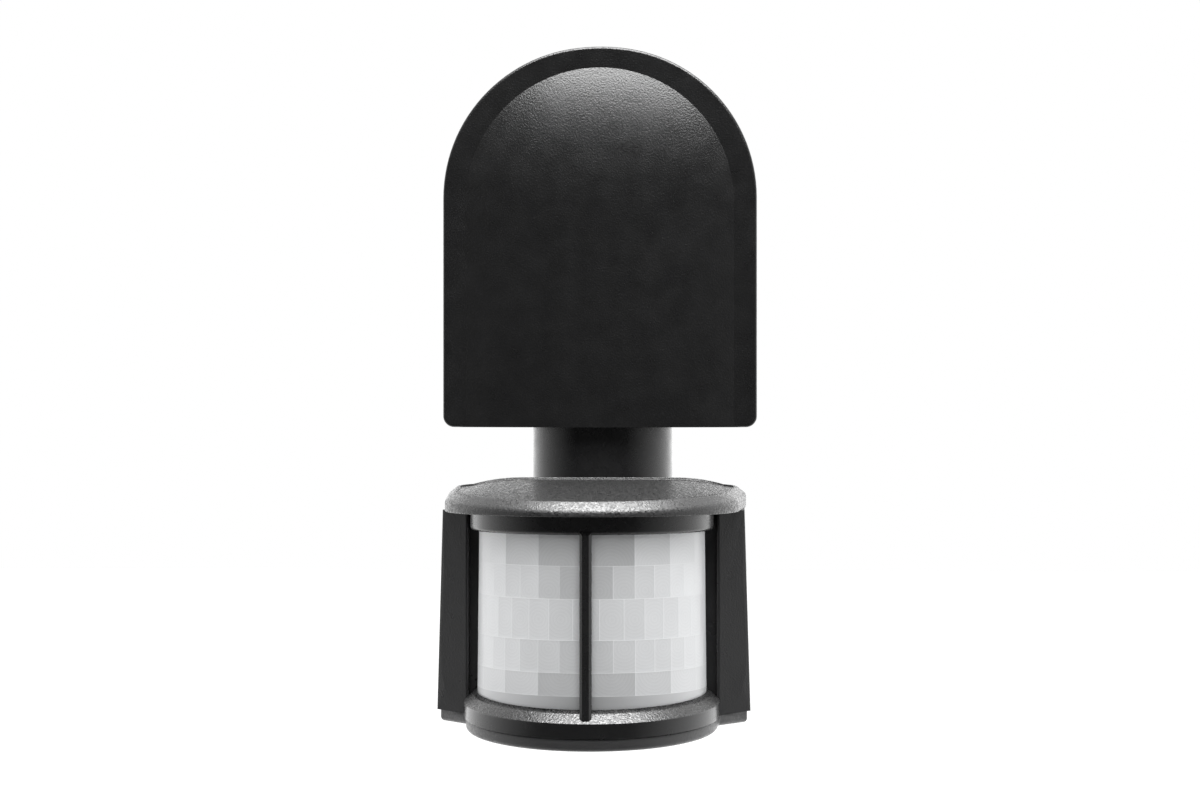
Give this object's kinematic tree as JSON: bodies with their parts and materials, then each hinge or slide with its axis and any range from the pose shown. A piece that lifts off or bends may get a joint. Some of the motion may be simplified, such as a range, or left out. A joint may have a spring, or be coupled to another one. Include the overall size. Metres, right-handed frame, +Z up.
{
  "type": "motion detector",
  "caption": "Wall-mounted infrared motion detector: domed wall box, round neck that pans, tilting head with a milky segmented lens.",
  "frame": {"origin": "middle of the wall plate's back face, on the wall plane", "axes": "+Z up along the wall, +Y into the wall, the detector looks along -Y"},
  "size_m": [0.085, 0.1204, 0.1816],
  "materials": {
    "grained_black": "fine grain",
    "smooth_black": "smooth, semi-gloss",
    "lens_plastic": "milky, translucent",
    "rubber": "matt",
    "steel": "zinc plated",
    "brass": "bright",
    "pale_plastic": "satin",
    "circuit_board": "lacquered",
    "relay_plastic": "gloss",
    "capacitor_film": "gloss",
    "capacitor_sleeve": "gloss",
    "trimmer_plastic": "satin",
    "cell_plastic": "satin",
    "light_plastic": "gloss"
  },
  "bodies": {
    "wall_unit": {"wall_base": "smooth_black", "front_cover": "grained_black", "cover_gasket": "rubber", "cable_grommet": "rubber", "cable_clamp": "smooth_black", "clamp_screws": "steel", "terminal_block": "pale_plastic", "terminal_screws": "brass", "cover_screws": "steel", "neck_retainer": "smooth_black", "retainer_screws": "steel"},
    "neck": {"neck_tube": "smooth_black", "neck_seal": "rubber"},
    "head": {"hat": "grained_black", "rear_housing": "grained_black", "wire_grommet": "rubber", "lens_guard": "smooth_black", "fresnel_lens": "lens_plastic", "lower_ring": "grained_black", "bottom_cap": "grained_black", "cap_gasket": "rubber", "tilt_bolt": "steel", "tilt_nut": "steel", "hat_screws": "steel", "cap_screws": "steel", "main_board": "circuit_board", "board_screws": "steel", "relay": "relay_plastic", "film_capacitor": "capacitor_film", "electrolytic_capacitor": "capacitor_sleeve", "sensor_carrier": "pale_plastic", "sensor_board": "circuit_board", "pir_sensor": "steel", "photocell": "cell_plastic", "indicator_light": "light_plastic", "control_board": "circuit_board", "control_screws": "steel", "trimmers": "trimmer_plastic"},
    "time_knob_body": {"time_knob": "smooth_black"},
    "light_knob_body": {"light_knob": "smooth_black"},
    "sensitivity_knob_body": {"sensitivity_knob": "smooth_black"}
  },
  "joints": [
    {"name": "head_pan", "type": "hinge", "parent": "wall_unit", "child": "neck", "pos_m": [0, -0.0245, -0.045], "axis": [0, 0, 1], "range_deg": [-45, 45]},
    {"name": "head_tilt", "type": "hinge", "parent": "neck", "child": "head", "pos_m": [0, -0.0245, -0.098], "axis": [1, 0, 0], "range_deg": [0, 30]},
    {"name": "time_knob_turn", "type": "hinge", "parent": "head", "child": "time_knob_body", "pos_m": [-0.014, -0.08799, -0.12505], "axis": [0, -0.0698, 0.9976], "range_deg": [-135, 135]},
    {"name": "light_knob_turn", "type": "hinge", "parent": "head", "child": "light_knob_body", "pos_m": [0, -0.08799, -0.12505], "axis": [0, -0.0698, 0.9976], "range_deg": [-135, 135]},
    {"name": "sensitivity_knob_turn", "type": "hinge", "parent": "head", "child": "sensitivity_knob_body", "pos_m": [0.014, -0.08799, -0.12505], "axis": [0, -0.0698, 0.9976], "range_deg": [-135, 135]}
  ]
}
